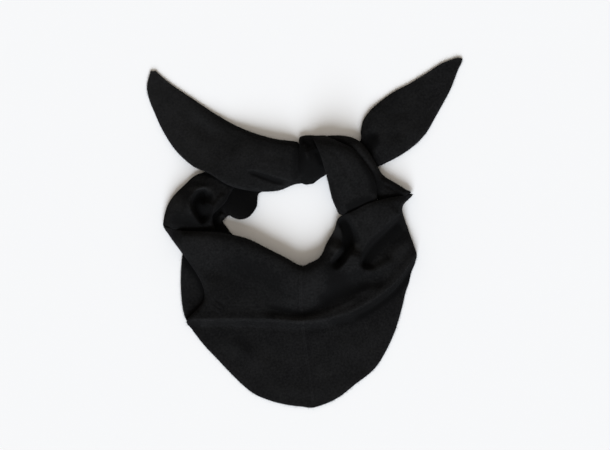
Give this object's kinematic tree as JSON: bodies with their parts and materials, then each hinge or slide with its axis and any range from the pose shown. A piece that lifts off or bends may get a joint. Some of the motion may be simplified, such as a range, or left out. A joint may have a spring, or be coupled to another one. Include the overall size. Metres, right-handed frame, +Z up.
{
  "type": "triangle scarf",
  "caption": "Black felted-wool triangle scarf, its tips tied in one knot to make a neck ring, laid flat with the bib, cross ridge, folds and two tails as thin cloth.",
  "frame": {"origin": "middle of the scarf's footprint, on the surface that it lies on", "axes": "+X to the right of the picture, +Y from the bib's point to the knot, +Z up from the surface"},
  "size_m": [0.394, 0.436, 0.0289],
  "materials": {
    "felted_wool": "matt near-black felted fine-knit wool with a short pale-edged fuzz"
  },
  "bodies": {
    "root": {"bib_left": "felted_wool", "bib_right": "felted_wool", "under_fold_left": "felted_wool", "neck_layer_left": "felted_wool", "shoulder_left": "felted_wool", "tail_left": "felted_wool", "tail_right": "felted_wool", "knot_wrap": "felted_wool", "knot_fold_right": "felted_wool", "knot_band": "felted_wool", "hidden_layers": "felted_wool"}
  },
  "joints": []
}
